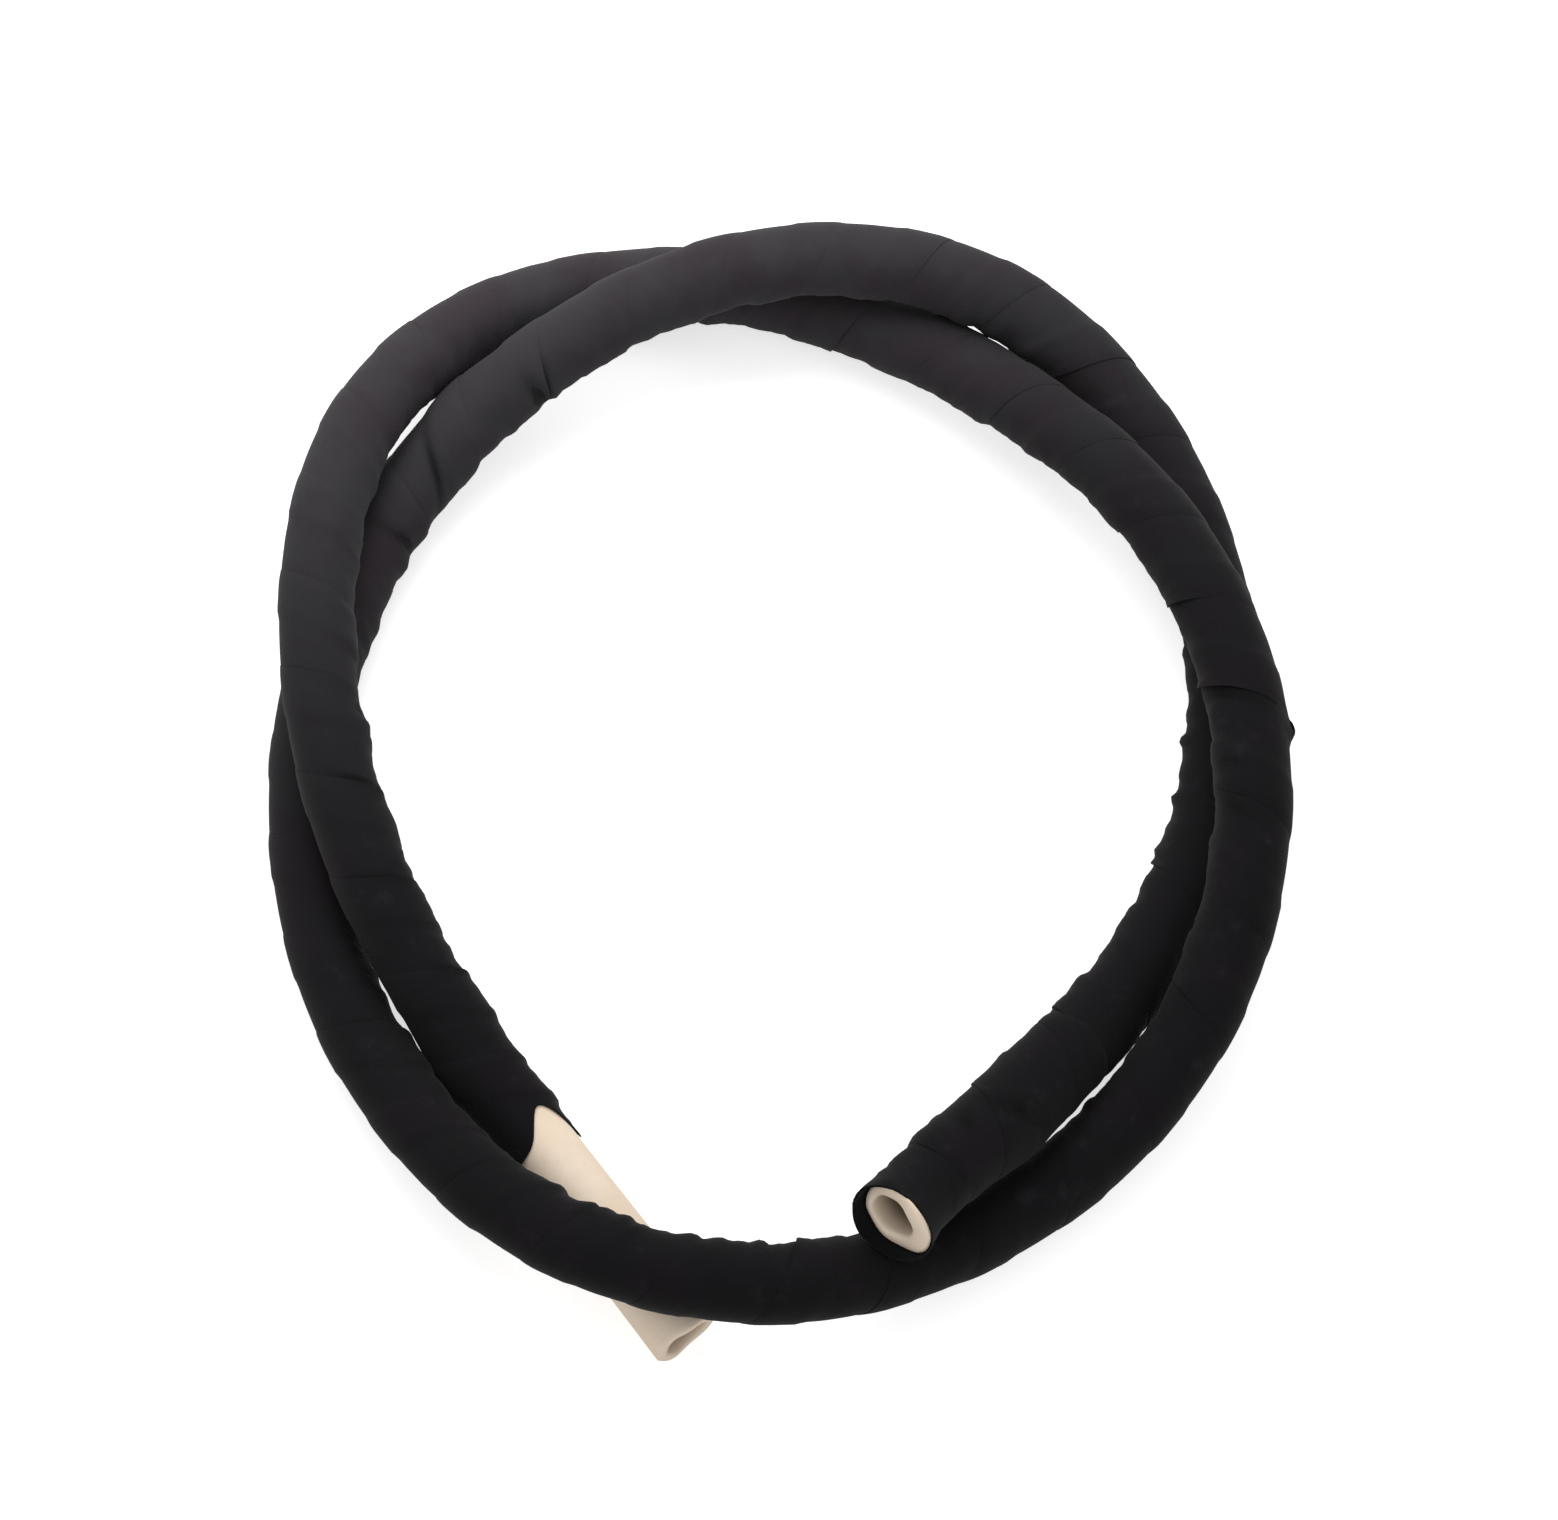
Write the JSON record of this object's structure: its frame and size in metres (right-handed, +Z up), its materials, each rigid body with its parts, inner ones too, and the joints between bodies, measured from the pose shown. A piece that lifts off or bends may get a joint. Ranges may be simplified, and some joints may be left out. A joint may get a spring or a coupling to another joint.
{
  "type": "soaker hose",
  "caption": "Length of soft rubber soaker hose in a wound black cloth cover, lying in a loose double ring, with both ends cut plain.",
  "frame": {"origin": "on the ground, at the middle of the resting ring's outline", "axes": "+Z up, +Y along the ring's longer width, away from the two cut ends; +X to the right"},
  "size_m": [0.2661, 0.3125, 0.0475],
  "materials": {
    "rubber": "matt cream rubber, slightly dusty",
    "cloth": "matt black cloth tape, woven"
  },
  "bodies": {
    "root": {"inner_tube": "rubber", "cover_tape_a": "cloth", "cover_tape_b": "cloth", "end_wrap": "cloth"}
  },
  "joints": []
}
